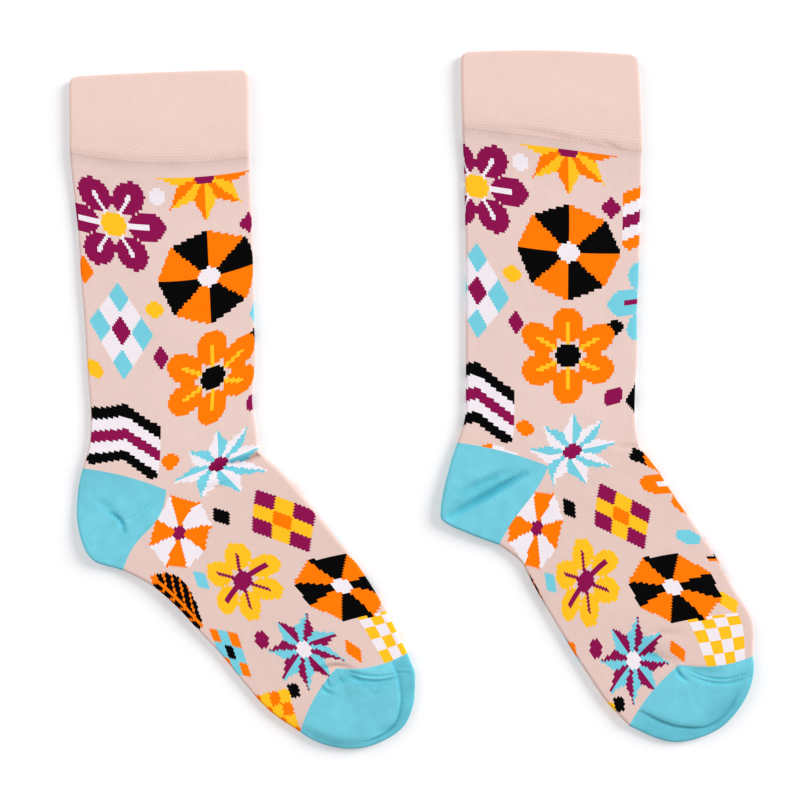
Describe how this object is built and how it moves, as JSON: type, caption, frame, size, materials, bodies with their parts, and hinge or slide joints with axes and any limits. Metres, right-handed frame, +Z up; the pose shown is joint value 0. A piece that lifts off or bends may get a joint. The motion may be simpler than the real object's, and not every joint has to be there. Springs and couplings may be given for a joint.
{
  "type": "pair of knitted crew socks laid flat",
  "caption": "Pair of knitted crew socks laid flat side by side, with turned elastic cuffs, patterned legs and feet, and plain heel and toe pockets.",
  "frame": {"origin": "on the surface the socks lie on, under the middle of the pair's box", "axes": "+Z up from the surface, +Y toward the cuffs, +X toward the side that the toes point to"},
  "size_m": [0.3619, 0.3688, 0.0064],
  "materials": {
    "cuff_knit": "pink fine elastic rib, turned double",
    "body_knit": "pale pink fine plain knit with a repeated many-coloured pattern",
    "pocket_knit": "turquoise fine plain knit"
  },
  "bodies": {
    "root": {"cuff_left": "cuff_knit", "cuff_right": "cuff_knit", "tube_left": "body_knit", "tube_right": "body_knit", "heel_left": "pocket_knit", "heel_right": "pocket_knit", "toe_left": "pocket_knit", "toe_right": "pocket_knit"}
  },
  "joints": []
}
